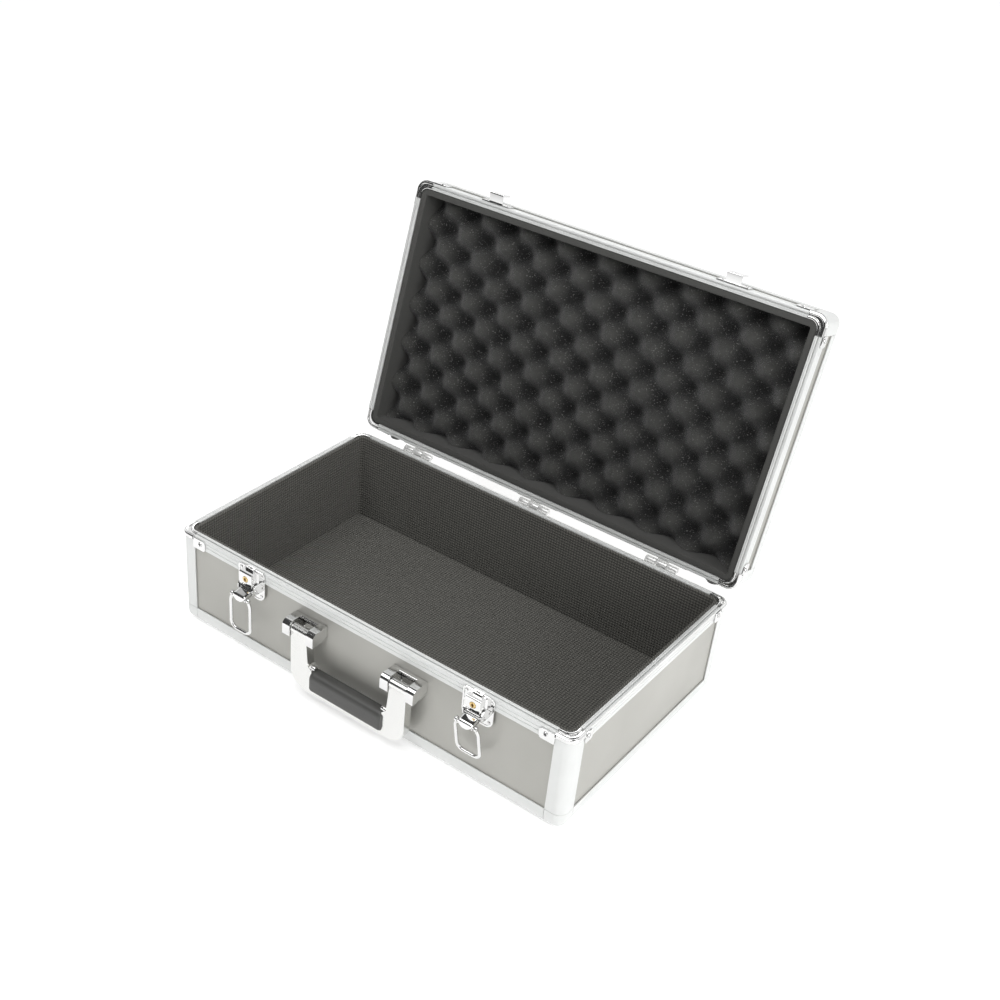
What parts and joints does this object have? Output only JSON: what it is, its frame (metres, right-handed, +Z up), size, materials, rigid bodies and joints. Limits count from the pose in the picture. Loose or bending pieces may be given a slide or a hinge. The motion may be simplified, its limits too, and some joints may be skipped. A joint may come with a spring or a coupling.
{
  "type": "attache case",
  "caption": "Rectangular hard case with aluminium edge extrusions, chrome corners, draw latches, a front carry handle and a hinged lid lined with egg-crate foam.",
  "frame": {"origin": "centre of the flat underside, on the floor", "axes": "+Z up, -Y towards the handle and latches, +X along the case's length to the right as seen from the front"},
  "size_m": [0.4542, 0.4042, 0.3731],
  "materials": {
    "panel": "light grey textured laminate on board, matte",
    "extrusion": "satin drawn aluminium",
    "chrome": "bright nickel-chrome plated steel",
    "lining": "dark grey foam sheet with a pressed diamond grid",
    "foam": "open-cell charcoal foam with egg-crate peaks",
    "grip": "smooth black moulded plastic, soft sheen",
    "brass": "yellow brass, lightly polished"
  },
  "bodies": {
    "base": {"base_bottom_board": "panel", "base_front_board": "panel", "base_back_board": "panel", "base_left_board": "panel", "base_right_board": "panel", "base_front_rail": "extrusion", "base_back_rail": "extrusion", "base_left_rail": "extrusion", "base_right_rail": "extrusion", "base_front_rim": "extrusion", "base_back_rim": "extrusion", "base_left_rim": "extrusion", "base_right_rim": "extrusion", "base_post_front_right": "extrusion", "base_post_back_right": "extrusion", "base_post_back_left": "extrusion", "base_post_front_left": "extrusion", "base_ball_corner_front_right": "extrusion", "base_ball_corner_back_right": "extrusion", "base_ball_corner_back_left": "extrusion", "base_ball_corner_front_left": "extrusion", "base_rim_corner_front_right": "chrome", "base_rim_corner_back_right": "chrome", "base_rim_corner_back_left": "chrome", "base_rim_corner_front_left": "chrome", "hinge_base_leaf_left": "chrome", "hinge_base_leaf_middle": "chrome", "hinge_base_leaf_right": "chrome", "latch_body_left": "chrome", "latch_body_right": "chrome", "handle_bracket_left": "chrome", "handle_bracket_right": "chrome", "base_liner": "lining"},
    "lid": {"lid_board": "panel", "lid_front_rim": "extrusion", "lid_back_rim": "extrusion", "lid_left_rim": "extrusion", "lid_right_rim": "extrusion", "lid_edge_frame": "extrusion", "lid_rim_corner_front_right": "chrome", "lid_rim_corner_back_right": "chrome", "lid_rim_corner_back_left": "chrome", "lid_rim_corner_front_left": "chrome", "hinge_lid_leaf_left": "chrome", "hinge_lid_leaf_middle": "chrome", "hinge_lid_leaf_right": "chrome", "catch_hook_left": "chrome", "catch_hook_right": "chrome", "lid_liner": "lining", "lid_egg_crate_foam": "foam"},
    "handle": {"handle_frame": "extrusion", "handle_grip": "grip"},
    "latch_lever_left": {"latch_lever_left": "chrome"},
    "latch_lever_right": {"latch_lever_right": "chrome"},
    "bail_pin_left": {"bail_pin_left": "chrome"},
    "bail_pin_right": {"bail_pin_right": "chrome"},
    "latch_bail_left": {"latch_bail_left": "chrome"},
    "latch_bail_right": {"latch_bail_right": "chrome"},
    "key_cylinder_left": {"key_cylinder_left": "brass"},
    "key_cylinder_right": {"key_cylinder_right": "brass"}
  },
  "joints": [
    {"name": "lid_hinge", "type": "hinge", "parent": "base", "child": "lid", "pos_m": [0, 0.1364, 0.1052], "axis": [1, 0, 0], "range_deg": [0, 105.5]},
    {"name": "handle_swing", "type": "hinge", "parent": "base", "child": "handle", "pos_m": [0, -0.1445, 0.075], "axis": [-1, 0, 0], "range_deg": [0, 170]},
    {"name": "lever_fold_left", "type": "hinge", "parent": "base", "child": "latch_lever_left", "pos_m": [-0.131, -0.1378, 0.083], "axis": [1, 0, 0], "range_deg": [-20, 75]},
    {"name": "bail_pin_turn_left", "type": "hinge", "parent": "latch_lever_left", "child": "bail_pin_left", "pos_m": [-0.131, -0.14804, 0.0787], "axis": [1, 0, 0], "range_deg": [-75, 20]},
    {"name": "bail_swing_left", "type": "hinge", "parent": "bail_pin_left", "child": "latch_bail_left", "pos_m": [-0.131, -0.14804, 0.0787], "axis": [-1, 0, 0], "range_deg": [-12, 180]},
    {"name": "key_turn_left", "type": "hinge", "parent": "base", "child": "key_cylinder_left", "pos_m": [-0.131, -0.138, 0.095], "axis": [0, -1, 0], "range_deg": [0, 90]},
    {"name": "lever_fold_right", "type": "hinge", "parent": "base", "child": "latch_lever_right", "pos_m": [0.131, -0.1378, 0.083], "axis": [1, 0, 0], "range_deg": [-20, 75]},
    {"name": "bail_pin_turn_right", "type": "hinge", "parent": "latch_lever_right", "child": "bail_pin_right", "pos_m": [0.131, -0.14804, 0.0787], "axis": [1, 0, 0], "range_deg": [-87, 23.2]},
    {"name": "bail_swing_right", "type": "hinge", "parent": "bail_pin_right", "child": "latch_bail_right", "pos_m": [0.131, -0.14804, 0.0787], "axis": [-1, 0, 0], "range_deg": [0, 180]},
    {"name": "key_turn_right", "type": "hinge", "parent": "base", "child": "key_cylinder_right", "pos_m": [0.131, -0.138, 0.095], "axis": [0, -1, 0], "range_deg": [0, 90]}
  ],
  "couplings": [
    {"joint": "bail_pin_turn_left", "follows": "lever_fold_left", "ratio": -1},
    {"joint": "bail_pin_turn_right", "follows": "lever_fold_right", "ratio": -1.16}
  ]
}
